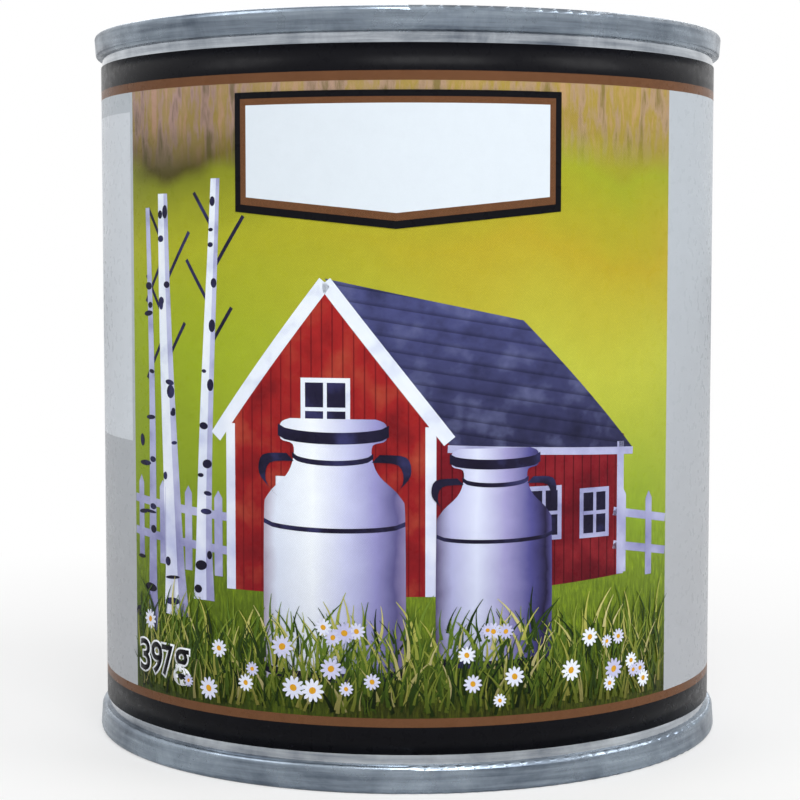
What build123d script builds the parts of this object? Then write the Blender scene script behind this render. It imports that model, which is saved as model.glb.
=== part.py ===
from build123d import *
import math
import os

# A sealed three-piece food can with a paper label wrapped round it, standing on its bottom seam.
# Millimetres, +Z up. The origin is the centre of the base, and the label's front faces -Y.

# Can
can_height = 82.5
body_radius = 36.5           # outside of the tinplate wall
wall_thickness = 0.2         # the wall's edge, which the seams hook over
sheet_thickness = 0.2        # tinplate of the two ends

# Double seams, which roll each end onto the body
top_seam_height = 2.65
bottom_seam_height = 3.0
seam_overhang = 0.93         # how far a seam stands out from the wall
seam_taper = 0.2             # how much a seam narrows towards the middle of the can
seam_crest_fillet = 0.5
seam_foot_fillet = 0.45
hook_depth = 0.7             # from a seam's crest to the edge of the body wall inside it

# Panel of each end, as depths below the seam's crest and distances from the axis
chuck_wall_lean = 0.3        # how far the wall beside the seam leans in on its way down
panel_depth = 3.0
panel_shoulder = 0.45        # how far the panel's edge leans in on its way up from the countersink
countersink_drop = 0.9       # from the panel down to the countersink
countersink_width = 1.25
countersink_fillet = 0.5
bead_insets = (18.1, 6.6)    # from the panel's edge in to the rings that are pressed up out of it
bead_width = 4.2
bead_crest_width = 2.0
bead_rise = 0.55
bead_fillet = 0.6

# Paper label
label_thickness = 0.15
label_gap = 1.1              # bare metal between the label and each seam
lap_width = 8.0              # where the label's end is glued over its start
lap_ramp = 1.5               # how gently the end climbs onto the start
lap_angle = 90.0             # middle of the lap, at the back

# What follows from the sizes above
seam_radius = body_radius + seam_overhang
chuck_radius = body_radius - wall_thickness - sheet_thickness
countersink_depth = panel_depth + countersink_drop
countersink_outer = chuck_radius - chuck_wall_lean
countersink_inner = countersink_outer - countersink_width
panel_radius = countersink_inner - panel_shoulder
label_low = bottom_seam_height + label_gap
label_high = can_height - top_seam_height - label_gap


def exposed_corners():
    """Corners of an end's outer face as (radius, depth, fillet), from the axis to the seam's crest."""
    corners = [(0.0, panel_depth, 0.0)]
    bead_crest = panel_depth - bead_rise
    for inset in bead_insets:
        bead_radius = panel_radius - inset
        corners.append((bead_radius - bead_width / 2, panel_depth, bead_fillet))
        corners.append((bead_radius - bead_crest_width / 2, bead_crest, bead_fillet))
        corners.append((bead_radius + bead_crest_width / 2, bead_crest, bead_fillet))
        corners.append((bead_radius + bead_width / 2, panel_depth, bead_fillet))
    corners.append((panel_radius, panel_depth, countersink_fillet))
    corners.append((countersink_inner, countersink_depth, countersink_fillet))
    corners.append((countersink_outer, countersink_depth, countersink_fillet))
    corners.append((chuck_radius, 0.0, seam_crest_fillet))
    return corners


def beside(corners, gap):
    """The same corners moved sideways by gap, onto the sheet's other face, with fillets to match."""
    moved = [(corners[0][0], corners[0][1] + gap, 0.0)]
    for before, corner, after in zip(corners, corners[1:], corners[2:]):
        angle_in = math.atan2(corner[1] - before[1], corner[0] - before[0])
        angle_out = math.atan2(after[1] - corner[1], after[0] - corner[0])
        turn = angle_out - angle_in
        reach = gap / math.cos(turn / 2)
        across = (angle_in + angle_out) / 2 + math.pi / 2
        radius = corner[0] + reach * math.cos(across)
        depth = corner[1] + reach * math.sin(across)
        fillet = corner[2] - gap if turn > 0 else corner[2] + gap
        moved.append((radius, depth, fillet))
    return moved


def underside_corners():
    """Corners of an end's inner face, from the axis up the chuck wall to the body's edge."""
    corners = beside(exposed_corners(), sheet_thickness)
    foot_radius, foot_depth, _ = corners[-1]
    lean = chuck_wall_lean / countersink_depth
    wall_inside = foot_radius + (foot_depth - hook_depth) * lean
    corners.append((wall_inside, hook_depth, 0.0))
    corners.append((body_radius, hook_depth, 0.0))
    return corners


def revolved(corners):
    """Turn a closed outline of (radius, height, fillet) corners about the can's axis."""
    points = [(radius, 0, height) for radius, height, _ in corners]
    fillets = [fillet for _, _, fillet in corners]
    outline = FilletPolyline(*points, radius=fillets, close=True)
    return revolve(make_face(outline), Axis.Z, 360)


def at_height(corners, crest, direction):
    """Turn depths below a seam's crest into heights above the base."""
    return [(radius, crest + direction * depth, fillet) for radius, depth, fillet in corners]


def can_end(seam_height, crest, direction):
    """A beaded end with its double seam, closed round the edge of the body wall."""
    seam = [
        (body_radius, seam_height, 0.0),
        (seam_radius - seam_taper, seam_height, seam_foot_fillet),
        (seam_radius, 0.0, seam_crest_fillet),
    ]
    outline = underside_corners() + seam + exposed_corners()[::-1]
    return revolved(at_height(outline, crest, direction))


def can_body():
    """The wall and what fills it, shut in between the two ends."""
    bottom = at_height(underside_corners(), 0.0, 1)
    top = at_height(underside_corners(), can_height, -1)
    return revolved(bottom + top[::-1])


def rim_point(radius, angle):
    return (radius * math.cos(math.radians(angle)), radius * math.sin(math.radians(angle)))


def paper_label():
    """A paper sleeve on the wall, whose end climbs over its start and stops at a step."""
    single = body_radius + label_thickness
    double = single + label_thickness
    lap_turn = math.degrees(lap_width / double)
    ramp_turn = math.degrees(lap_ramp / double)
    step = lap_angle + lap_turn / 2
    climb = lap_angle - lap_turn / 2
    outline = [
        CenterArc((0, 0), single, step, 360 - lap_turn - ramp_turn),
        Line(rim_point(single, climb - ramp_turn), rim_point(double, climb)),
        CenterArc((0, 0), double, climb, lap_turn),
        Line(rim_point(double, step), rim_point(single, step)),
    ]
    ring = make_face(outline) - Circle(body_radius)
    return Pos(0, 0, label_low) * extrude(ring, label_high - label_low)


parts = {
    "can_body": can_body(),
    "top_end": can_end(top_seam_height, can_height, -1),
    "bottom_end": can_end(bottom_seam_height, 0.0, 1),
    "label": paper_label(),
}

os.makedirs("parts", exist_ok=True)
for node, shape in parts.items():
    export_step(shape, f"parts/{node}.step")
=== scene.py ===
import math
import random

import bmesh
import bpy
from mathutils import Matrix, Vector


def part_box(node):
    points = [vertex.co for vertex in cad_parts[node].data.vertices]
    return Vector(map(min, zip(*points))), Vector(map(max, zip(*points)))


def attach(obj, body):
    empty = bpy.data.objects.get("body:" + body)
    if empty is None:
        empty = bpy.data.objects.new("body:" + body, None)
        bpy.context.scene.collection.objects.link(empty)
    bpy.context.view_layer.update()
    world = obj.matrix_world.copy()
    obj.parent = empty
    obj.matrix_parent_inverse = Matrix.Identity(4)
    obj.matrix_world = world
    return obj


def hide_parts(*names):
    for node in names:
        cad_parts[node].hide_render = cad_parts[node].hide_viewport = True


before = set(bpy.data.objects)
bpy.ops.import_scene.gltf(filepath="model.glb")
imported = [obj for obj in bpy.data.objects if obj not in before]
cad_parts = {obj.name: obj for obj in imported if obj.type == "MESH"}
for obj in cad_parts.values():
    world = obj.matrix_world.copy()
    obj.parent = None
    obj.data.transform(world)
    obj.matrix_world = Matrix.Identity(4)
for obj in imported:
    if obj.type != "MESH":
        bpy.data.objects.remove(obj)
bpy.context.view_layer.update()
scene = bpy.context.scene
mm = 0.001

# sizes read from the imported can, in metres
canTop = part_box("top_end")[1].z
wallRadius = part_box("can_body")[1].x
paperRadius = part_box("label")[1].x
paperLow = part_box("label")[0].z
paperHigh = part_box("label")[1].z
print("can loaded, height", round(canTop / mm, 2), "mm, label radius", round(paperRadius / mm, 2), "mm")


def srgb(red, green, blue):
    # 0-255 screen colour to the linear colour that a shader wants
    def channel(value):
        value /= 255
        return value / 12.92 if value <= 0.04045 else ((value + 0.055) / 1.055) ** 2.4
    return (channel(red), channel(green), channel(blue), 1.0)


def meshObject(name, mesh):
    piece = bpy.data.objects.new(name, mesh)
    scene.collection.objects.link(piece)
    return piece


def bake(name, piece):
    # the evaluated object becomes a plain mesh and its modifiers go
    evaluated = piece.evaluated_get(bpy.context.evaluated_depsgraph_get())
    mesh = bpy.data.meshes.new_from_object(evaluated)
    plain = meshObject(name, mesh)
    bpy.data.objects.remove(piece)
    return plain


class Nodes:
    # short hand for wiring a node tree
    def __init__(self, tree):
        self.tree = tree

    def add(self, kind, inputs=None, **settings):
        node = self.tree.nodes.new(kind)
        for key, value in settings.items():
            setattr(node, key, value)
        for key, value in (inputs or {}).items():
            self.feed(node.inputs[key], value)
        return node

    def feed(self, socket, value):
        if isinstance(value, bpy.types.NodeSocket):
            self.tree.links.new(value, socket)
        else:
            socket.default_value = value

    def math(self, operation, first, second=None, third=None):
        node = self.add("ShaderNodeMath", operation=operation)
        for index, value in enumerate((first, second, third)):
            if value is not None:
                self.feed(node.inputs[index], value)
        return node.outputs[0]

    def mix(self, factor, first, second, blend="MIX"):
        node = self.add("ShaderNodeMix", data_type="RGBA", blend_type=blend)
        self.feed(node.inputs[0], factor)
        self.feed(node.inputs[6], first)
        self.feed(node.inputs[7], second)
        return node.outputs[2]

    def ramp(self, factor, stops, interpolation="LINEAR"):
        node = self.add("ShaderNodeValToRGB")
        node.color_ramp.interpolation = interpolation
        elements = node.color_ramp.elements
        while len(elements) < len(stops):
            elements.new(0.5)
        for element, (position, colour) in zip(elements, stops):
            element.position = position
            element.color = colour
        self.feed(node.inputs[0], factor)
        return node.outputs[0]

    def noise(self, vector, scale, detail=4.0, roughness=0.5, distortion=0.0):
        node = self.add("ShaderNodeTexNoise", {"Scale": scale, "Detail": detail, "Roughness": roughness,
                                               "Distortion": distortion})
        self.feed(node.inputs["Vector"], vector)
        return node.outputs["Fac"]

    def spread(self, value, low, high, newLow=0.0, newHigh=1.0):
        node = self.add("ShaderNodeMapRange", {"From Min": low, "From Max": high, "To Min": newLow,
                                               "To Max": newHigh})
        self.feed(node.inputs["Value"], value)
        return node.outputs["Result"]

    def combine(self, x, y, z):
        node = self.add("ShaderNodeCombineXYZ")
        for socket, value in zip(node.inputs, (x, y, z)):
            self.feed(socket, value)
        return node.outputs[0]


def shaderGroup(name, inputs, outputs):
    tree = bpy.data.node_groups.new(name, "ShaderNodeTree")
    for title, kind, value in inputs:
        socket = tree.interface.new_socket(title, in_out="INPUT", socket_type=kind)
        if value is not None:
            socket.default_value = value
    for title, kind in outputs:
        tree.interface.new_socket(title, in_out="OUTPUT", socket_type=kind)
    nodes = Nodes(tree)
    return tree, nodes, nodes.add("NodeGroupInput"), nodes.add("NodeGroupOutput")


# camera distances are in millimetres, turns in degrees
cameraView = {"lens": 91.56, "x": -0.35, "distance": 248.37, "height": 57.5, "pitch": 4.251, "yaw": 0.124}


def placeCamera(view):
    data = bpy.data.cameras.new("canCamera")
    data.lens = view["lens"]
    data.sensor_width = 36.0
    data.clip_start = 0.01
    camera = meshObject("canCamera", data)
    camera.location = (view["x"] * mm, -view["distance"] * mm, view["height"] * mm)
    camera.rotation_euler = (math.radians(90 - view["pitch"]), 0, math.radians(view["yaw"]))
    scene.camera = camera


placeCamera(cameraView)


scene.view_settings.view_transform = "Standard"

studio = {"floorSize": 12.0, "seenWorld": 1.0, "fill": 0.22,
          "keyLamp": 5.4, "leftLamp": 2.0, "rightLamp": 2.9, "backLamp": 3.0}


def areaLamp(name, place, aim, size, power):
    data = bpy.data.lights.new(name, "AREA")
    data.shape = "RECTANGLE"
    data.size, data.size_y = size
    data.energy = power
    lamp = meshObject(name, data)
    lamp.location = place
    lamp.rotation_euler = (Vector(aim) - Vector(place)).to_track_quat("-Z", "Y").to_euler()
    return lamp


def buildStudio(values):
    world = bpy.data.worlds.new("studioWorld")
    scene.world = world
    world.use_nodes = True
    nodes = Nodes(world.node_tree)
    world.node_tree.nodes.clear()
    path = nodes.add("ShaderNodeLightPath")
    seen = nodes.math("MAXIMUM", path.outputs["Is Camera Ray"], path.outputs["Is Glossy Ray"])
    seen = nodes.math("MAXIMUM", seen, path.outputs["Is Transmission Ray"])
    strength = nodes.spread(seen, 0, 1, values["fill"], values["seenWorld"])
    ground = nodes.add("ShaderNodeBackground", {"Color": (1, 1, 1, 1), "Strength": strength})
    out = nodes.add("ShaderNodeOutputWorld")
    nodes.feed(out.inputs["Surface"], ground.outputs[0])

    half = values["floorSize"] / 2
    mesh = bpy.data.meshes.new("studioFloor")
    corners = [(-half, -half, 0), (half, -half, 0), (half, half, 0), (-half, half, 0)]
    mesh.from_pydata(corners, [], [(0, 1, 2, 3)])
    floor = meshObject("studioFloor", mesh)
    material = bpy.data.materials.new("paleFloor")
    material.use_nodes = True
    nodes = Nodes(material.node_tree)
    shader = material.node_tree.nodes["Principled BSDF"]
    shader.inputs["Base Color"].default_value = (0.86, 0.86, 0.86, 1)
    shader.inputs["Roughness"].default_value = 0.7
    shader.inputs["Specular IOR Level"].default_value = 0.1
    # the floor keeps the shadow near the can and melts into the white backdrop farther out
    away = nodes.add("ShaderNodeVectorMath", operation="LENGTH")
    nodes.feed(away.inputs[0], nodes.add("ShaderNodeTexCoord").outputs["Object"])
    fade = nodes.spread(away.outputs["Value"], 0.04, 0.15, 0.5, 1.0)
    fade = nodes.math("MULTIPLY", fade, nodes.add("ShaderNodeLightPath").outputs["Is Camera Ray"])
    glow = nodes.add("ShaderNodeEmission", {"Color": (1, 1, 1, 1), "Strength": 1.0})
    both = nodes.add("ShaderNodeMixShader", {"Fac": fade})
    nodes.feed(both.inputs[1], shader.outputs[0])
    nodes.feed(both.inputs[2], glow.outputs[0])
    nodes.feed(material.node_tree.nodes["Material Output"].inputs["Surface"], both.outputs[0])
    mesh.materials.append(material)

    middle = (0, 0, canTop / 2)
    areaLamp("keySoftbox", (0.12, -0.75, 0.62), middle, (0.6, 0.35), values["keyLamp"])
    areaLamp("leftSoftbox", (-0.70, -0.30, 0.55), middle, (0.4, 0.4), values["leftLamp"])
    areaLamp("rightSoftbox", (0.75, -0.25, 0.55), middle, (0.4, 0.4), values["rightLamp"])
    areaLamp("backSoftbox", (0.0, 0.75, 0.60), middle, (0.8, 0.35), values["backLamp"])


buildStudio(studio)
print("camera and studio ready")


def placeOnCan():
    # distance round the front of the can and height above the base, both in millimetres
    tree, nodes, given, result = shaderGroup("placeOnCan", [("Radius", "NodeSocketFloat", 36.65)],
                                             [("Round", "NodeSocketFloat"), ("Up", "NodeSocketFloat")])
    spot = nodes.add("ShaderNodeSeparateXYZ")
    nodes.feed(spot.inputs[0], nodes.add("ShaderNodeTexCoord").outputs["Object"])
    angle = nodes.math("ARCTAN2", spot.outputs[0], nodes.math("MULTIPLY", spot.outputs[1], -1.0))
    nodes.feed(result.inputs["Round"], nodes.math("MULTIPLY", angle, given.outputs["Radius"]))
    nodes.feed(result.inputs["Up"], nodes.math("MULTIPLY", spot.outputs[2], 1000.0))
    return tree


def inkGrain(place):
    # the fine dot screen and slight unevenness of a printed colour
    tree, nodes, given, result = shaderGroup(
        "inkGrain",
        [("Color", "NodeSocketColor", (0.5, 0.5, 0.5, 1)), ("Grain", "NodeSocketFloat", 0.16),
         ("Mottle", "NodeSocketFloat", 0.10), ("Dots", "NodeSocketFloat", 5.2)],
        [("Color", "NodeSocketColor"), ("Gloss", "NodeSocketFloat"), ("Height", "NodeSocketFloat")])
    spot = nodes.add("ShaderNodeGroup", node_tree=place)
    flat = nodes.combine(spot.outputs["Round"], spot.outputs["Up"], 0.0)
    turned = nodes.add("ShaderNodeMapping", {"Rotation": (0, 0, math.radians(37))})
    nodes.feed(turned.inputs["Vector"], flat)
    dots = nodes.add("ShaderNodeTexVoronoi", {"Scale": 5.2, "Randomness": 0.35}, voronoi_dimensions="2D")
    nodes.feed(dots.inputs["Vector"], turned.outputs[0])
    nodes.feed(dots.inputs["Scale"], given.outputs["Dots"])
    dot = nodes.spread(dots.outputs["Distance"], 0.15, 0.65, -0.5, 0.5)
    dot = nodes.math("MULTIPLY", dot, given.outputs["Grain"])
    cloud = nodes.spread(nodes.noise(flat, 0.55, 6.0, 0.62), 0.25, 0.75, -0.5, 0.5)
    cloud = nodes.math("MULTIPLY", cloud, given.outputs["Mottle"])
    level = nodes.math("ADD", nodes.math("ADD", dot, cloud), 1.0)
    scaled = nodes.add("ShaderNodeVectorMath", operation="SCALE")
    nodes.feed(scaled.inputs[0], given.outputs["Color"])
    nodes.feed(scaled.inputs["Scale"], level)
    nodes.feed(result.inputs["Color"], scaled.outputs[0])
    nodes.feed(result.inputs["Gloss"], nodes.spread(nodes.noise(flat, 0.9, 5.0), 0.3, 0.7, 0.24, 0.36))
    nodes.feed(result.inputs["Height"], nodes.noise(flat, 7.0, 3.0))
    return tree


def tinWearAndPaintedReflection():
    # rubbed rings, handling scratches and dull patches of tinplate; the base colour's bright and dark rings
    # and patches are partly wear and partly painted reflection
    tree, nodes, given, result = shaderGroup(
        "tinWearAndPaintedReflection",
        [("Bright", "NodeSocketColor", (0.6, 0.6, 0.6, 1)), ("DullAndPaintedDark", "NodeSocketColor", (0.3, 0.3, 0.3, 1)),
         ("Gloss", "NodeSocketFloat", 0.22), ("Matt", "NodeSocketFloat", 0.42)],
        [("Color", "NodeSocketColor"), ("Roughness", "NodeSocketFloat"), ("Height", "NodeSocketFloat")])
    where = nodes.add("ShaderNodeTexCoord").outputs["Object"]
    rubbed = nodes.add("ShaderNodeMapping", {"Scale": (60, 60, 1400)})
    nodes.feed(rubbed.inputs["Vector"], where)
    rings = nodes.noise(rubbed.outputs[0], 1.0, 5.0, 0.6)
    patches = nodes.noise(where, 95.0, 6.0, 0.65, 0.4)
    fine = nodes.noise(where, 900.0, 3.0, 0.6)
    # bright rings and patches are partly painted highlight, dark ones partly painted dark reflection,
    # besides rubbing
    wearAndReflectionMask = nodes.math("ADD", nodes.math("MULTIPLY", rings, 0.45), nodes.math("MULTIPLY", patches, 0.55))
    wearAndReflectionMask = nodes.spread(wearAndReflectionMask, 0.36, 0.66)
    nodes.feed(result.inputs["Color"], nodes.mix(wearAndReflectionMask, given.outputs["DullAndPaintedDark"], given.outputs["Bright"]))
    worn = nodes.math("ADD", nodes.math("MULTIPLY", patches, 0.7), nodes.math("MULTIPLY", fine, 0.3))
    rough = nodes.add("ShaderNodeMapRange", {"From Min": 0.35, "From Max": 0.65})
    nodes.feed(rough.inputs["Value"], worn)
    nodes.feed(rough.inputs["To Min"], given.outputs["Matt"])
    nodes.feed(rough.inputs["To Max"], given.outputs["Gloss"])
    nodes.feed(result.inputs["Roughness"], rough.outputs["Result"])
    nodes.feed(result.inputs["Height"], nodes.math("ADD", rings, nodes.math("MULTIPLY", fine, 0.3)))
    return tree


placeGroup = placeOnCan()
inkGroup = inkGrain(placeGroup)
tinGroup = tinWearAndPaintedReflection()


def newFinish(name):
    material = bpy.data.materials.new(name)
    material.use_nodes = True
    return material, Nodes(material.node_tree), material.node_tree.nodes["Principled BSDF"]


def bumpInto(nodes, shader, height, strength, distance):
    bump = nodes.add("ShaderNodeBump", {"Strength": strength, "Distance": distance})
    nodes.feed(bump.inputs["Height"], height)
    nodes.feed(shader.inputs["Normal"], bump.outputs[0])


def inkFinish(name, colour, grain=0.16, mottle=0.10, field=None):
    # glossy coated paper under one printed colour, or under a field that the caller wires up
    material, nodes, shader = newFinish(name)
    ink = nodes.add("ShaderNodeGroup", {"Grain": grain, "Mottle": mottle}, node_tree=inkGroup)
    spot = nodes.add("ShaderNodeGroup", node_tree=placeGroup)
    if field:
        colour = field(nodes, spot.outputs["Round"], spot.outputs["Up"])
    nodes.feed(ink.inputs["Color"], colour)
    nodes.feed(shader.inputs["Base Color"], ink.outputs["Color"])
    nodes.feed(shader.inputs["Roughness"], ink.outputs["Gloss"])
    shader.inputs["Specular IOR Level"].default_value = 0.06
    bumpInto(nodes, shader, ink.outputs["Height"], 0.06, 0.00005)
    return material


def tinFinish(name, bright, dullAndPaintedDark, gloss, matt):
    material, nodes, shader = newFinish(name)
    tin = nodes.add("ShaderNodeGroup", {"Bright": bright, "DullAndPaintedDark": dullAndPaintedDark, "Gloss": gloss, "Matt": matt},
                    node_tree=tinGroup)
    nodes.feed(shader.inputs["Base Color"], tin.outputs["Color"])
    nodes.feed(shader.inputs["Roughness"], tin.outputs["Roughness"])
    shader.inputs["Metallic"].default_value = 1.0
    bumpInto(nodes, shader, tin.outputs["Height"], 0.25, 0.00004)
    return material


# each tin gets a bright and a dark base colour, partly painted reflection and partly real rubbing
seamTin = tinFinish("seamTin", srgb(160, 172, 184), srgb(72, 82, 96), 0.20, 0.42)
wallTin = tinFinish("wallTin", srgb(206, 212, 218), srgb(96, 104, 116), 0.06, 0.18)


def refinish(node, material):
    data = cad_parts[node].data
    data.materials.clear()
    data.materials.append(material)


refinish("top_end", seamTin)
refinish("bottom_end", seamTin)
refinish("can_body", wallTin)
print("tinplate finished")


# heights of the printed bands above the base and the picture's two edges, in millimetres
labelPrint = {"brownLow": 7.05, "pictureLow": 8.01, "pictureHigh": 74.88, "brownHigh": 75.88,
          "pictureLeft": -36.3, "pictureRight": 33.1, "columns": 360,
          "lapWidth": 8.0, "lapRamp": 1.5, "lapRise": 0.15}


def pictureField(nodes, around, up):
    # a soft meadow: pale blossom and gold woods above, a dark hedge, then grass that deepens downwards
    flat = nodes.combine(around, up, 0.0)
    blur = nodes.noise(flat, 0.055, 3.0, 0.5)
    wave = nodes.math("MULTIPLY", nodes.spread(blur, 0.3, 0.7, -1.0, 1.0), 3.0)
    height = nodes.math("ADD", up, wave)
    level = nodes.spread(height, 8.0, 75.0)
    left = nodes.ramp(level, [
        (0.00, srgb(52, 60, 26)), (0.10, srgb(74, 96, 34)), (0.30, srgb(124, 146, 40)),
        (0.60, srgb(150, 168, 42)), (0.76, srgb(164, 168, 44)), (0.865, srgb(128, 134, 40)),
        (0.90, srgb(76, 70, 34)), (0.95, srgb(104, 94, 72)), (1.00, srgb(152, 130, 122))])
    right = nodes.ramp(level, [
        (0.00, srgb(60, 66, 30)), (0.10, srgb(96, 116, 42)), (0.30, srgb(134, 160, 50)),
        (0.55, srgb(180, 184, 66)), (0.74, srgb(178, 160, 46)), (0.86, srgb(154, 160, 44)),
        (0.92, srgb(150, 136, 50)), (1.00, srgb(168, 146, 70))])
    colour = nodes.mix(nodes.spread(around, -24, 10), left, right)
    stretched = nodes.add("ShaderNodeMapping", {"Scale": (0.55, 0.10, 1)})
    nodes.feed(stretched.inputs["Vector"], flat)
    streaks = nodes.noise(stretched.outputs[0], 1.0, 5.0, 0.6)
    wooded = nodes.spread(up, 66, 71)
    streaked = nodes.ramp(streaks, [
        (0.36, srgb(96, 84, 60)), (0.46, srgb(172, 140, 134)), (0.54, srgb(158, 136, 62)),
        (0.64, srgb(186, 146, 122))])
    colour = nodes.mix(nodes.math("MULTIPLY", wooded, 0.6), colour, streaked)
    tall = nodes.add("ShaderNodeMapping", {"Scale": (3.2, 0.55, 1)})
    nodes.feed(tall.inputs["Vector"], flat)
    blades = nodes.noise(tall.outputs[0], 1.0, 6.0, 0.7, 0.5)
    low = nodes.spread(up, 34, 12)
    shade = nodes.ramp(blades, [
        (0.34, srgb(46, 58, 26)), (0.50, srgb(150, 150, 120)), (0.66, srgb(232, 226, 130))])
    return nodes.mix(nodes.math("MULTIPLY", low, 0.75), colour, shade, "OVERLAY")


def panelField(nodes, around, up):
    # the bare side panel, faintly warmer low down
    return nodes.mix(nodes.spread(up, 60, 20), srgb(180, 187, 194), srgb(170, 173, 178))


inks = {
    "paper": inkFinish("barePaper", srgb(226, 226, 222), 0.0, 0.06),
    "black": inkFinish("blackInk", srgb(15, 15, 19), 0.10, 0.20),
    "brown": inkFinish("brownInk", srgb(104, 70, 47), 0.42, 0.16),
    "panel": inkFinish("sidePanelInk", None, 0.02, 0.05, panelField),
    "picture": inkFinish("meadowInk", None, 0.22, 0.10, pictureField),
}


def ringOfLabel(values):
    # angles and outer radii round the label, with two columns at the lap's step
    single, rise = paperRadius / mm, values["lapRise"]
    step = math.pi - values["lapWidth"] / 2 / single
    top = -math.pi + values["lapWidth"] / 2 / single
    foot = top + values["lapRamp"] / single
    stops = sorted([foot, values["pictureLeft"] / single, values["pictureRight"] / single, step])
    ring = [(top, single + rise), (foot, single)]
    for low, high in zip(stops, stops[1:]):
        count = max(2, round(values["columns"] * (high - low) / math.tau))
        ring += [(low + (high - low) * (i + 1) / count, single) for i in range(count)]
    ring += [(step, single + rise)]
    count = 14
    around = math.tau + top - step
    ring += [(step + around * (i + 1) / count, single + rise) for i in range(count - 1)]
    return ring


def buildLabel(values):
    single = paperRadius / mm
    ring = ringOfLabel(values)
    low, high = paperLow / mm, paperHigh / mm
    levels = [low] + [values[k] for k in ("brownLow", "pictureLow", "pictureHigh", "brownHigh")] + [high]
    inner = wallRadius / mm
    mesh = bmesh.new()
    outer, inside = [], []
    for angle, radius in ring:
        x, y = radius * mm * math.sin(angle), -radius * mm * math.cos(angle)
        outer.append([mesh.verts.new((x, y, z * mm)) for z in levels])
        inside.append([mesh.verts.new((inner * mm * math.sin(angle), -inner * mm * math.cos(angle), z * mm))
                       for z in (low, high)])
    names = list(inks)
    left, right = values["pictureLeft"] / single, values["pictureRight"] / single
    steps = len(ring)
    for i in range(steps):
        j = (i + 1) % steps
        flat = abs(ring[i][0] - ring[j][0]) < 1e-9
        middle = (ring[i][0] + ring[j][0]) / 2
        for k in range(len(levels) - 1):
            face = mesh.faces.new((outer[i][k], outer[j][k], outer[j][k + 1], outer[i][k + 1]))
            band = ("black", "brown", "panel", "brown", "black")[k]
            if k == 2 and left < middle < right and j > i:
                band = "picture"
            face.material_index = names.index("paper" if flat else band)
            face.smooth = not flat
        for face in (mesh.faces.new((inside[j][0], inside[i][0], inside[i][1], inside[j][1])),
                     mesh.faces.new([inside[i][0], inside[j][0]] + [outer[j][0], outer[i][0]]),
                     mesh.faces.new([inside[j][1], inside[i][1]] + [outer[i][-1], outer[j][-1]])):
            face.material_index = names.index("paper")
    bmesh.ops.remove_doubles(mesh, verts=mesh.verts, dist=1e-8)
    bmesh.ops.recalc_face_normals(mesh, faces=mesh.faces)
    data = bpy.data.meshes.new("paperLabel")
    mesh.to_mesh(data)
    mesh.free()
    for ink in inks.values():
        data.materials.append(ink)
    label = meshObject("paperLabel", data)
    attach(label, "root")
    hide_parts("label")


buildLabel(labelPrint)
print("label wrapped")


def bendRound(mesh):
    # a flat sheet drawn in millimetres is bent round the can
    single = paperRadius / mm
    for vert in mesh.verts:
        angle, reach = vert.co.x / single, (single + vert.co.z) * mm
        vert.co = (reach * math.sin(angle), -reach * math.cos(angle), vert.co.y * mm)


layerStep = 0.009       # height of one printed layer over the next, in millimetres
stripWidth = 0.75       # how finely a flat shape is cut so that it can bend


def smoothLine(points, steps):
    # an open rounded line through a few points
    last = len(points) - 1
    line = []
    for i in range(last):
        before, start, end, after = (points[min(max(i + k, 0), last)] for k in (-1, 0, 1, 2))
        for step in range(steps):
            t = step / steps
            line.append(tuple(0.5 * (2 * b + (c - a) * t + (2 * a - 5 * b + 4 * c - d) * t * t
                                     + (3 * b - a - 3 * c + d) * t ** 3)
                              for a, b, c, d in zip(before, start, end, after)))
    return line + [points[-1]]


def box(left, low, right, high):
    return [(left, low), (right, low), (right, high), (left, high)]


def bar(start, end, width):
    # a straight strip between two points
    along = Vector((end[0] - start[0], end[1] - start[1])).normalized() * width / 2
    return [(start[0] + along.y, start[1] - along.x), (end[0] + along.y, end[1] - along.x),
            (end[0] - along.y, end[1] + along.x), (start[0] - along.y, start[1] + along.x)]


def oval(x, y, wide, tall, steps=20, turn=0.0):
    ring = []
    for i in range(steps):
        angle = math.tau * i / steps
        a, b = wide / 2 * math.cos(angle), tall / 2 * math.sin(angle)
        ring.append((x + a * math.cos(turn) - b * math.sin(turn),
                     y + a * math.sin(turn) + b * math.cos(turn)))
    return ring


def addLayer(mesh, part, top, slot):
    # one flat shape gets its thickness and finish, and joins the piece
    for vert in part.verts:
        vert.co.z = top
    made = bmesh.ops.extrude_face_region(part, geom=part.faces[:])
    for item in made["geom"]:
        if isinstance(item, bmesh.types.BMVert):
            item.co.z = top - layerStep * 1.5
    bmesh.ops.recalc_face_normals(part, faces=part.faces[:])
    for face in part.faces:
        face.material_index = slot
    scrap = bpy.data.meshes.new("scrap")
    part.to_mesh(scrap)
    part.free()
    mesh.from_mesh(scrap)
    bpy.data.meshes.remove(scrap)


def endPrint(mesh, name, finishes):
    bendRound(mesh)
    data = bpy.data.meshes.new(name)
    mesh.to_mesh(data)
    mesh.free()
    for finish in finishes.values():
        data.materials.append(finish)
    piece = meshObject(name, data)
    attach(piece, "root")
    print(name, len(data.polygons), "faces")


def printPiece(name, shapes, finishes):
    # shapes are (outline, layer, finish), drawn flat, cut into strips, thickened and bent round the can
    mesh = bmesh.new()
    names = list(finishes)
    for outline, layer, finish in shapes:
        part = bmesh.new()
        face = part.faces.new([part.verts.new((x, y, 0)) for x, y in outline])
        face.normal_update()
        if face.normal.z < 0:
            face.normal_flip()
        low = math.floor(min(x for x, y in outline) / stripWidth)
        high = math.ceil(max(x for x, y in outline) / stripWidth)
        for i in range(low + 1, high):
            bmesh.ops.bisect_plane(part, geom=part.verts[:] + part.edges[:] + part.faces[:], dist=1e-6,
                                   plane_co=(i * stripWidth, 0, 0), plane_no=(1, 0, 0))
        bmesh.ops.triangulate(part, faces=part.faces[:])
        addLayer(mesh, part, layer * layerStep, names.index(finish))
    endPrint(mesh, name, finishes)


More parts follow.
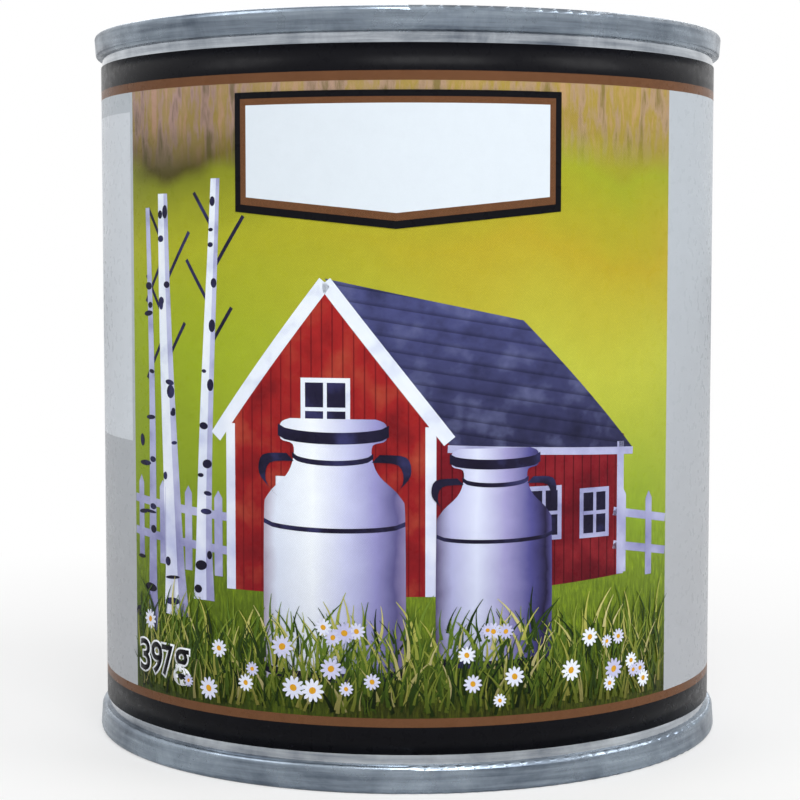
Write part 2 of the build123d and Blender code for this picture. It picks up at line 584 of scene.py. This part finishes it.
def shadedField(low, high, start, end, dark, pale, boards=0.0, rows=0.0, strength=0.6):
    # a colour that shades from one edge to the other, with painterly streaks or boards
    def field(nodes, around, up):
        colour = nodes.mix(nodes.spread(up, start, end), low, high)
        flat = nodes.combine(around, up, 0.0)
        soft = nodes.noise(flat, 0.22, 4.0, 0.5)
        colour = nodes.mix(nodes.spread(soft, 0.50, 0.72, 0.0, strength), colour, pale)
        colour = nodes.mix(nodes.spread(soft, 0.48, 0.28, 0.0, strength), colour, dark)
        if rows:
            along = nodes.math("FRACT", nodes.math("DIVIDE", nodes.math("ADD", up, nodes.math(
                "MULTIPLY", around, 0.16)), rows))
            colour = nodes.mix(nodes.spread(along, 0.0, 0.3, 0.55, 0.0), colour, dark)
        if boards:
            along = nodes.math("FRACT", nodes.math("DIVIDE", around, boards))
            seam = nodes.math("LESS_THAN", along, 0.14)
            colour = nodes.mix(nodes.math("MULTIPLY", seam, 0.6), colour, dark)
        return colour
    return field


shades = {
    "barnFront": inkFinish("barnRed", None, 0.16, 0.12, shadedField(
        srgb(126, 26, 32), srgb(158, 38, 38), 20, 50, srgb(84, 18, 26), srgb(176, 84, 60), boards=1.15)),
    "barnSide": inkFinish("barnShadeRed", None, 0.16, 0.12, shadedField(
        srgb(78, 18, 27), srgb(124, 28, 38), 14, 40, srgb(44, 12, 20), srgb(150, 44, 50), boards=1.15)),
    "roof": inkFinish("slateRoof", None, 0.16, 0.14, shadedField(
        srgb(40, 40, 66), srgb(72, 76, 122), 34, 52, srgb(20, 19, 34), srgb(118, 124, 166), rows=1.5)),
    "white": inkFinish("paintWhite", None, 0.07, 0.06, shadedField(
        srgb(186, 190, 222), srgb(226, 234, 245), 14, 44, srgb(160, 166, 212), srgb(240, 244, 250))),
    "shadeWhite": inkFinish("shadeWhite", None, 0.10, 0.08, shadedField(
        srgb(126, 124, 170), srgb(182, 186, 220), 14, 44, srgb(92, 92, 146), srgb(206, 210, 234))),
    "dark": inkFinish("darkInk", None, 0.12, 0.2, shadedField(
        srgb(24, 20, 34), srgb(38, 36, 62), 14, 50, srgb(16, 14, 22), srgb(70, 72, 128))),
}

barn = {"left": -20.5, "corner": 3.0, "right": 25.5, "ground": 21.0, "groundRise": 1.2,
        "eaves": 38.5, "ridge": 53.5, "farEaves": 36.5, "farRidge": 50.0, "trim": 1.15,
        "bargeBoard": 1.5, "overhang": 1.4, "doorHalf": 5.6, "doorTall": 12.5, "rail": 0.8, "brace": 0.75,
        "sideWindows": 3, "windowGap": 6.6, "frame": 0.5, "glazingBar": 0.2}


def buildBarn(b):
    left, corner, right, ground = b["left"], b["corner"], b["right"], b["ground"]
    eaves, ridge, trim = b["eaves"], b["ridge"], b["trim"]
    rail, brace, over = b["rail"], b["brace"], b["overhang"]
    peak = (left + corner) / 2
    farPeak = peak + (right - corner) * 0.94
    farGround = ground + b["groundRise"]
    shapes = [
        ([(corner, ground), (right, farGround), (right, b["farEaves"] + 1), (corner, eaves + 1)],
         1, "barnSide"),
        ([(left, ground), (corner, ground), (corner, eaves), (peak, ridge), (left, eaves)], 2, "barnFront"),
        ([(peak, ridge + 0.9), (farPeak, b["farRidge"]), (right + over, b["farEaves"] - 0.6),
          (corner + 1.5, eaves - 1.6)], 3, "roof"),
        (bar((left - over, eaves - 1.1), (peak, ridge + 0.5), b["bargeBoard"]), 4, "white"),
        (bar((peak, ridge + 0.5), (corner + over, eaves - 1.1), b["bargeBoard"]), 4, "white"),
        (box(left, ground, left + trim, eaves + 0.4), 3, "white"),
        (box(corner - trim, ground, corner, eaves + 0.4), 3, "white"),
        (bar((corner + 1.2, eaves - 1.9), (right + over, b["farEaves"] - 0.9), 0.8), 4, "shadeWhite"),
        (box(right - 1.0, farGround, right, b["farEaves"] + 0.2), 3, "shadeWhite"),
    ]
    # a pair of braced doors
    top = ground + b["doorTall"]
    for x0, x1 in ((peak - b["doorHalf"], peak - 0.1), (peak + 0.1, peak + b["doorHalf"])):
        shapes += [(box(x0, ground, x1, top), 3, "barnSide"),
                   (box(x0, ground, x0 + rail, top), 5, "white"),
                   (box(x1 - rail, ground, x1, top), 5, "white"),
                   (box(x0, top - rail, x1, top), 5, "white"),
                   (box(x0, ground, x1, ground + rail), 5, "white"),
                   (bar((x0 + 0.4, ground + 0.4), (x1 - 0.4, top - 0.4), brace), 4, "white"),
                   (bar((x0 + 0.4, top - 0.4), (x1 - 0.4, ground + 0.4), brace), 6, "white")]
    # the loft hatch and the windows, each with a frame and a cross of bars
    windows = [(peak - 2.2, eaves - 0.6, peak + 2.2, eaves + 5.0, "white")]
    for i in range(b["sideWindows"]):
        x = corner + 3.6 + i * b["windowGap"]
        low, high = ground + 6.2 - i * 0.1, ground + 11.4 - i * 0.5
        windows.append((x, low, x + 3.6 - i * 0.3, high, "shadeWhite"))
    frameWidth, glazing = b["frame"], b["glazingBar"]
    for x0, y0, x1, y1, paint in windows:
        middleX, middleY = (x0 + x1) / 2, (y0 + y1) / 2
        surround = box(x0 - frameWidth, y0 - frameWidth, x1 + frameWidth, y1 + frameWidth)
        shapes += [(surround, 4, paint), (box(x0, y0, x1, y1), 5, "dark"),
                   (box(middleX - glazing, y0, middleX + glazing, y1), 6, paint),
                   (box(x0, middleY - glazing, x1, middleY + glazing), 7, paint)]
    printPiece("printedBarn", shapes, shades)


buildBarn(barn)

# trunks are place, width and lean; branches are side, share of the height, and length
birches = {"trunks": ((-34.0, 3.3, 0.2), (-28.6, 2.6, -0.5), (-23.4, 1.9, 0.6)),
           "foot": 15.0, "head": 62.0, "marks": 15, "seed": 4, "steps": 9, "twig": 0.42,
           "branches": ((-1, 0.70, 5), (1, 0.78, 6), (-1, 0.88, 4), (1, 0.60, 4.5))}


def buildBirches(b):
    dice = random.Random(b["seed"])
    steps = b["steps"]
    shapes = []
    for place, (x, width, lean) in enumerate(b["trunks"]):
        foot, head = b["foot"] + place * 2.2, b["head"] + place * 1.5

        def centre(t):
            return x + lean * 2 * t + 0.5 * math.sin(3.2 * t + place * 2)

        def half(t):
            return width / 2 * (1.25 - 0.62 * t + 0.35 * math.exp(-14 * t))

        def edge(share):
            # a line up the trunk, this share of its half width from the middle
            return [(centre(i / steps) + half(i / steps) * share, foot + (head - foot) * i / steps)
                    for i in range(steps + 1)]
        shapes.append((edge(-1) + edge(1)[::-1], 2, "white"))
        shapes.append((edge(0.25) + edge(1)[::-1], 3, "shadeWhite"))
        for _ in range(b["marks"]):
            t = dice.uniform(0.02, 0.96)
            wide = half(t) * dice.uniform(0.5, 1.5)
            side = dice.choice((-1, 1))
            middle = centre(t) + side * (half(t) - wide / 2)
            mark = oval(middle, foot + (head - foot) * t, wide, dice.uniform(0.35, 1.5), 14,
                        dice.uniform(-0.12, 0.12))
            shapes.append((mark, 4 + dice.randrange(2), "dark"))
        for side, t, length in b["branches"]:
            start = (centre(t), foot + (head - foot) * t)
            end = (start[0] + side * length * 0.7, start[1] + length)
            shapes.append((bar(start, end, b["twig"]), 1, "dark"))
    # what would cross the picture's left edge is left off
    inside = [shape for shape in shapes if min(p[0] for p in shape[0]) > labelPrint["pictureLeft"]]
    printPiece("printedBirches", inside, shades)


buildBirches(birches)

# milk churns: place, foot, height, width and light; the outline and the bands are shares of these
churns = {"standing": ((-8.0, 12.2, 27.5, 15.5, "white"), (9.4, 13.6, 23.0, 12.8, "shadeWhite")),
          "profile": ((0.00, 0.93), (0.03, 1.00), (0.60, 1.00), (0.70, 0.94), (0.78, 0.66), (0.84, 0.56),
                      (0.90, 0.56), (0.92, 0.74), (0.98, 0.74), (1.00, 0.60)),
          "bands": ((0.03, 1.0, 0.035), (0.60, 1.0, 0.018), (0.86, 0.57, 0.02), (0.955, 0.78, 0.045)),
          "handle": ((0.60, 0.85), (0.96, 0.84), (1.02, 0.77), (0.84, 0.71))}


def roundField(middle, half, stops):
    # shading from the lit side of a round body to its dark side
    def field(nodes, around, up):
        wobble = nodes.math("MULTIPLY", nodes.noise(nodes.combine(around, up, 0.0), 0.3), 1.2)
        bulge = nodes.math("ADD", around, wobble)
        across = nodes.spread(bulge, middle - half + 0.6, middle + half + 0.6)
        colour = nodes.ramp(across, stops)
        lower = nodes.spread(up, 30, 11, 0.0, 0.45)
        return nodes.mix(lower, colour, srgb(128, 128, 160), "MULTIPLY")
    return field


def buildChurns(c):
    pale = [(0.0, srgb(168, 160, 178)), (0.10, srgb(214, 222, 238)), (0.36, srgb(238, 244, 250)),
            (0.60, srgb(196, 200, 232)), (0.80, srgb(146, 144, 196)), (0.93, srgb(92, 88, 136)),
            (1.0, srgb(138, 128, 168))]
    dusk = [(0.0, srgb(92, 84, 118)), (0.12, srgb(176, 178, 216)), (0.34, srgb(214, 220, 242)),
            (0.58, srgb(158, 154, 200)), (0.80, srgb(82, 80, 140)), (0.94, srgb(40, 36, 62)),
            (1.0, srgb(80, 76, 130))]
    finishes = {"dark": shades["dark"]}
    shapes = []
    for place, (x, foot, tall, wide, paint) in enumerate(c["standing"]):
        body = "churn" + str(place + 1)
        finishes[body] = inkFinish(body + "Enamel", None, 0.10, 0.06,
                                   roundField(x, wide / 2, pale if paint == "white" else dusk))
        side = [(wide / 2 * share, foot + tall * up) for up, share in c["profile"]]
        side = smoothLine(side, 4)
        shapes.append(([(x - w, z) for w, z in side] + [(x + w, z) for w, z in side[::-1]], 8, body))
        for up, share, thick in c["bands"]:
            half = wide / 2 * share
            z = foot + tall * up
            sag = tall * 0.03
            arc = [math.sqrt(max(0.0, 1 - (k / 8) ** 2)) for k in range(-8, 9)]
            upper = [(x + half * k / 8, z + tall * thick / 2 - sag * bow)
                     for k, bow in zip(range(-8, 9), arc)]
            lower = [(px, pz - tall * thick) for px, pz in upper[::-1]]
            shapes.append((upper + lower, 9, "dark"))
        for way in (-1, 1):
            ear = [(x + way * wide / 2 * share, foot + tall * up) for share, up in c["handle"]]
            line = smoothLine(ear, 4)
            thick = tall * 0.015
            ring = [(px + way * thick, pz + thick) for px, pz in line]
            ring += [(px - way * thick, pz - thick) for px, pz in line[::-1]]
            shapes.append((ring, 10, "dark"))
    printPiece("printedChurns", shapes, finishes)


buildChurns(churns)

# each run's two ends and the ground at them; rails are shares of the height
fence = {"runs": ((-36.2, -18.5, 23.0, 22.0), (24.0, 33.0, 22.5, 21.0)), "tall": 8.5,
         "gap": 4.4, "post": 1.1, "rail": 0.9, "rails": (0.35, 0.78), "point": 0.8}


def buildFence(f):
    shapes = []
    for start, end, footStart, footEnd in f["runs"]:
        def ground(x):
            return footStart + (footEnd - footStart) * (x - start) / (end - start)
        for share in f["rails"]:
            rise = f["tall"] * share
            rail = bar((start, ground(start) + rise), (end, ground(end) + rise), f["rail"])
            shapes.append((rail, 1, "shadeWhite"))
        x = start + 0.8
        while x < end - 0.6:
            z = ground(x)
            shapes.append(([(x, z), (x + f["post"], z), (x + f["post"], z + f["tall"]),
                            (x + f["post"] / 2, z + f["tall"] + f["point"]), (x, z + f["tall"])],
                           2, "shadeWhite"))
            x += f["gap"]
    printPiece("printedFence", shapes, shades)


buildFence(fence)

# the sowing of the foreground, all in millimetres: one tree serves the grass and the daisies
sowing = {
    "grass": {"Left": -35.2, "Right": 32.0, "Foot": 8.2, "Band": 9.0, "Thick": 2.1, "Seed": 3,
              "Smallest": 1.8, "Largest": 4.6, "Lean": 0.42, "Front": 0.155},
    "daisies": {"Left": -33.5, "Right": 31.0, "Foot": 9.6, "Band": 8.0, "Thick": 0.075, "Seed": 21,
                "Smallest": 0.75, "Largest": 1.35, "Lean": 1.2, "Front": 0.165},
}


def bladeMotif(nodes):
    # one blade, one high, flat and curved to the right
    cone = nodes.add("GeometryNodeMeshCone", {"Vertices": 4, "Side Segments": 4, "Radius Top": 0.008,
                                              "Radius Bottom": 0.055, "Depth": 1.0})
    lay = nodes.add("GeometryNodeTransform", {"Rotation": (math.radians(-90), 0, 0)})
    nodes.feed(lay.inputs["Geometry"], cone.outputs["Mesh"])
    thin = nodes.add("GeometryNodeTransform", {"Scale": (1, 1, 0.03)})
    nodes.feed(thin.inputs["Geometry"], lay.outputs[0])
    spot = nodes.add("ShaderNodeSeparateXYZ")
    nodes.feed(spot.inputs[0], nodes.add("GeometryNodeInputPosition").outputs[0])
    bend = nodes.math("MULTIPLY", nodes.math("POWER", spot.outputs[1], 2.0), 0.28)
    move = nodes.add("GeometryNodeSetPosition")
    nodes.feed(move.inputs["Geometry"], thin.outputs[0])
    nodes.feed(move.inputs["Offset"], nodes.combine(bend, 0.0, 0.0))
    return move.outputs[0]


def daisyMotif(nodes):
    # eleven petals round a raised heart
    petal = nodes.add("GeometryNodeMeshUVSphere", {"Segments": 8, "Rings": 5, "Radius": 1.0})
    shaped = nodes.add("GeometryNodeTransform", {"Translation": (0, 0.58, 0), "Scale": (0.17, 0.42, 0.008)})
    nodes.feed(shaped.inputs["Geometry"], petal.outputs["Mesh"])
    line = nodes.add("GeometryNodeMeshLine", {"Count": 11, "Offset": (0, 0, 0)})
    turn = nodes.math("MULTIPLY", nodes.add("GeometryNodeInputIndex").outputs[0], math.tau / 11)
    ring = nodes.add("GeometryNodeInstanceOnPoints")
    nodes.feed(ring.inputs["Points"], line.outputs[0])
    nodes.feed(ring.inputs["Instance"], shaped.outputs[0])
    nodes.feed(ring.inputs["Rotation"], nodes.combine(0.0, 0.0, turn))
    heart = nodes.add("GeometryNodeMeshUVSphere", {"Segments": 12, "Rings": 6, "Radius": 1.0})
    flatHeart = nodes.add("GeometryNodeTransform", {"Translation": (0, 0, 0.008),
                                                    "Scale": (0.3, 0.27, 0.012)})
    nodes.feed(flatHeart.inputs["Geometry"], heart.outputs["Mesh"])
    marked = nodes.add("GeometryNodeStoreNamedAttribute", {"Name": "heart", "Value": 1.0},
                       data_type="FLOAT")
    nodes.feed(marked.inputs["Geometry"], flatHeart.outputs[0])
    join = nodes.add("GeometryNodeJoinGeometry")
    nodes.feed(join.inputs[0], ring.outputs[0])
    nodes.feed(join.inputs[0], marked.outputs[0])
    return join.outputs[0]


def sowingTree(name, motif):
    tree = bpy.data.node_groups.new(name, "GeometryNodeTree")
    kinds = dict.fromkeys(("Left", "Right", "Foot", "Band", "Thick", "Smallest", "Largest", "Lean", "Front",
                           "Radius"), "NodeSocketFloat")
    kinds["Seed"] = "NodeSocketInt"
    kinds["Finish"] = "NodeSocketMaterial"
    sockets = {title: tree.interface.new_socket(title, in_out="INPUT", socket_type=kind).identifier
               for title, kind in kinds.items()}
    tree.interface.new_socket("Geometry", in_out="OUTPUT", socket_type="NodeSocketGeometry")
    nodes = Nodes(tree)
    given, result = nodes.add("NodeGroupInput"), nodes.add("NodeGroupOutput")
    value = given.outputs

    def dice(low, high, seed):
        node = nodes.add("FunctionNodeRandomValue", data_type="FLOAT")
        nodes.feed(node.inputs[2], low)
        nodes.feed(node.inputs[3], high)
        nodes.feed(node.inputs["Seed"], nodes.math("ADD", value["Seed"], float(seed)))
        return node.outputs[1]

    # the strip of ground, sown more thickly towards its foot
    width = nodes.math("SUBTRACT", value["Right"], value["Left"])
    grid = nodes.add("GeometryNodeMeshGrid", {"Vertices X": 40, "Vertices Y": 12})
    nodes.feed(grid.inputs["Size X"], width)
    nodes.feed(grid.inputs["Size Y"], value["Band"])
    shift = nodes.add("GeometryNodeTransform")
    nodes.feed(shift.inputs["Geometry"], grid.outputs["Mesh"])
    nodes.feed(shift.inputs["Translation"], nodes.combine(
        nodes.math("MULTIPLY", nodes.math("ADD", value["Right"], value["Left"]), 0.5),
        nodes.math("ADD", value["Foot"], nodes.math("MULTIPLY", value["Band"], 0.5)), 0.0))
    spot = nodes.add("ShaderNodeSeparateXYZ")
    nodes.feed(spot.inputs[0], nodes.add("GeometryNodeInputPosition").outputs[0])
    rise = nodes.math("DIVIDE", nodes.math("SUBTRACT", spot.outputs[1], value["Foot"]), value["Band"])
    scatter = nodes.add("GeometryNodeDistributePointsOnFaces", distribute_method="RANDOM")
    nodes.feed(scatter.inputs["Mesh"], shift.outputs[0])
    thinning = nodes.spread(rise, 0, 1, 1.25, 0.45)
    nodes.feed(scatter.inputs["Density"], nodes.math("MULTIPLY", value["Thick"], thinning))
    nodes.feed(scatter.inputs["Seed"], value["Seed"])

    # near plants lie over far ones
    lift = nodes.math("SUBTRACT", value["Front"], nodes.math("MULTIPLY", rise, 0.035))
    raised = nodes.add("GeometryNodeSetPosition")
    nodes.feed(raised.inputs["Geometry"], scatter.outputs["Points"])
    lift = nodes.math("ADD", lift, dice(-0.004, 0.004, 1))
    nodes.feed(raised.inputs["Offset"], nodes.combine(0.0, 0.0, lift))
    tinted = nodes.add("GeometryNodeStoreNamedAttribute", {"Name": "tint"}, data_type="FLOAT")
    nodes.feed(tinted.inputs["Geometry"], raised.outputs[0])
    nodes.feed(tinted.inputs["Value"], dice(0.0, 1.0, 2))
    plant = nodes.add("GeometryNodeInstanceOnPoints")
    nodes.feed(plant.inputs["Points"], tinted.outputs[0])
    nodes.feed(plant.inputs["Instance"], motif(nodes))
    flip = nodes.math("MULTIPLY", nodes.math("GREATER_THAN", dice(0.0, 1.0, 3), 0.5), math.pi)
    nodes.feed(plant.inputs["Rotation"], nodes.combine(
        0.0, flip if motif is bladeMotif else 0.0,
        dice(nodes.math("MULTIPLY", value["Lean"], -1.0), value["Lean"], 4)))
    size = dice(value["Smallest"], value["Largest"], 5)
    nodes.feed(plant.inputs["Scale"], nodes.combine(size, size, 1.0))
    real = nodes.add("GeometryNodeRealizeInstances")
    nodes.feed(real.inputs[0], plant.outputs[0])

    # bent round the label
    where = nodes.add("ShaderNodeSeparateXYZ")
    nodes.feed(where.inputs[0], nodes.add("GeometryNodeInputPosition").outputs[0])
    angle = nodes.math("DIVIDE", where.outputs[0], value["Radius"])
    reach = nodes.math("MULTIPLY", nodes.math("ADD", where.outputs[2], value["Radius"]), mm)
    aside = nodes.math("MULTIPLY", nodes.math("SINE", angle), reach)
    back = nodes.math("MULTIPLY", nodes.math("MULTIPLY", nodes.math("COSINE", angle), reach), -1.0)
    rise = nodes.math("MULTIPLY", where.outputs[1], mm)
    wrap = nodes.add("GeometryNodeSetPosition")
    nodes.feed(wrap.inputs["Geometry"], real.outputs[0])
    nodes.feed(wrap.inputs["Position"], nodes.combine(aside, back, rise))
    paint = nodes.add("GeometryNodeSetMaterial")
    nodes.feed(paint.inputs["Geometry"], wrap.outputs[0])
    nodes.feed(paint.inputs["Material"], value["Finish"])
    nodes.feed(result.inputs[0], paint.outputs[0])
    return tree, sockets


def grassField(nodes, around, up):
    # every blade has its own green, and all darken towards the foot of the picture
    tint = nodes.add("ShaderNodeAttribute", attribute_name="tint").outputs["Fac"]
    colour = nodes.ramp(tint, [
        (0.0, srgb(30, 44, 22)), (0.25, srgb(58, 82, 30)), (0.5, srgb(96, 124, 42)),
        (0.75, srgb(142, 156, 62)), (0.93, srgb(182, 180, 92)), (1.0, srgb(206, 198, 142))])
    return nodes.mix(nodes.spread(up, 20, 8.5, 0.0, 0.8), colour, srgb(96, 92, 78), "MULTIPLY")


def daisyField(nodes, around, up):
    heart = nodes.add("ShaderNodeAttribute", attribute_name="heart").outputs["Fac"]
    tint = nodes.add("ShaderNodeAttribute", attribute_name="tint").outputs["Fac"]
    petals = nodes.mix(tint, srgb(184, 184, 220), srgb(232, 238, 246))
    return nodes.mix(heart, petals, srgb(206, 152, 40))


def sow(name, motif, finish, values):
    tree, sockets = sowingTree(name, motif)
    piece = meshObject(name, bpy.data.meshes.new(name + "Ground"))
    modifier = piece.modifiers.new("sowing", "NODES")
    modifier.node_group = tree
    for title, amount in values.items():
        modifier[sockets[title]] = amount
    modifier[sockets["Radius"]] = paperRadius / mm
    modifier[sockets["Finish"]] = finish
    piece = bake(name + "Print", piece)
    print(name, len(piece.data.polygons), "faces")
    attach(piece, "root")


sow("grass", bladeMotif, inkFinish("grassInk", None, 0.14, 0.10, grassField), sowing["grass"])
sow("daisies", daisyMotif, inkFinish("daisyInk", None, 0.06, 0.04, daisyField), sowing["daisies"])

# the blank white patch on the left side panel
patch = {"left": -60.0, "right": -36.95, "low": 35.9, "high": 72.7}
printPiece("blankPatch", [(box(patch["left"], patch["low"], patch["right"], patch["high"]), 1, "blank")],
           {"blank": inkFinish("patchWhite", srgb(206, 212, 219), 0.02, 0.04)})


plaque = {"middle": -1.2, "half": 17.9, "top": 73.9, "corner": 61.42, "tip": 59.55, "line": 0.68}


def buildPlaque(p):
    finishes = {"black": inks["black"], "brown": inks["brown"],
                "blank": inkFinish("blankWhite", srgb(216, 225, 233), 0.02, 0.03)}
    shapes = []
    for layer, finish in enumerate(finishes):
        inset = p["line"] * layer
        half = p["half"] - inset
        slope = (p["corner"] - p["tip"]) / p["half"]
        corner = p["corner"] + inset * (1 + slope)
        shapes.append(([(p["middle"] - half, p["top"] - inset), (p["middle"] - half, corner),
                        (p["middle"], corner - slope * half), (p["middle"] + half, corner),
                        (p["middle"] + half, p["top"] - inset)], 8 + layer, finish))
    printPiece("plaque", shapes, finishes)


buildPlaque(plaque)

# each figure of the weight with its left edge, width, foot and height, in millimetres
weight = {"figures": (("3", -35.1, 2.0, 10.25, 3.45), ("9", -32.7, 2.05, 10.25, 3.45),
                      ("7", -30.65, 1.9, 10.25, 3.35), ("g", -28.35, 2.3, 9.75, 3.75)),
          "edge": 0.42, "bold": 0.10}


def figureOutlines(sign, thicken):
    # the closed curves of one figure, as a mesh scaled to one by one
    text = bpy.data.curves.new("figure", "FONT")
    text.body = sign
    text.resolution_u = 6
    text.offset = thicken
    piece = meshObject("figure", text)
    bpy.context.view_layer.update()
    mesh = bpy.data.meshes.new_from_object(piece.evaluated_get(bpy.context.evaluated_depsgraph_get()))
    bpy.data.objects.remove(piece)
    return mesh


def buildWeight(w):
    finishes = {"white": inkFinish("weightWhite", srgb(232, 236, 242), 0.03, 0.03), "black": inks["black"]}
    joined = bmesh.new()
    for sign, left, wide, foot, tall in w["figures"]:
        plain = figureOutlines(sign, 0.0)
        lowX, highX = min(v.co.x for v in plain.vertices), max(v.co.x for v in plain.vertices)
        lowY, highY = min(v.co.y for v in plain.vertices), max(v.co.y for v in plain.vertices)
        scaleX, scaleY = wide / (highX - lowX), tall / (highY - lowY)
        for index, (layer, grow) in enumerate(((18, w["bold"] + w["edge"]), (19, w["bold"]))):
            mesh = figureOutlines(sign, grow / 2 / min(scaleX, scaleY))
            part = bmesh.new()
            part.from_mesh(mesh)
            bmesh.ops.remove_doubles(part, verts=part.verts, dist=1e-5)
            for vert in part.verts:
                vert.co.x = (vert.co.x - lowX) * scaleX + left
                vert.co.y = (vert.co.y - lowY) * scaleY + foot
            for face in part.faces:
                if face.normal.z < 0:
                    face.normal_flip()
            addLayer(joined, part, layer * layerStep, index)
    endPrint(joined, "printedWeight", finishes)


buildWeight(weight)
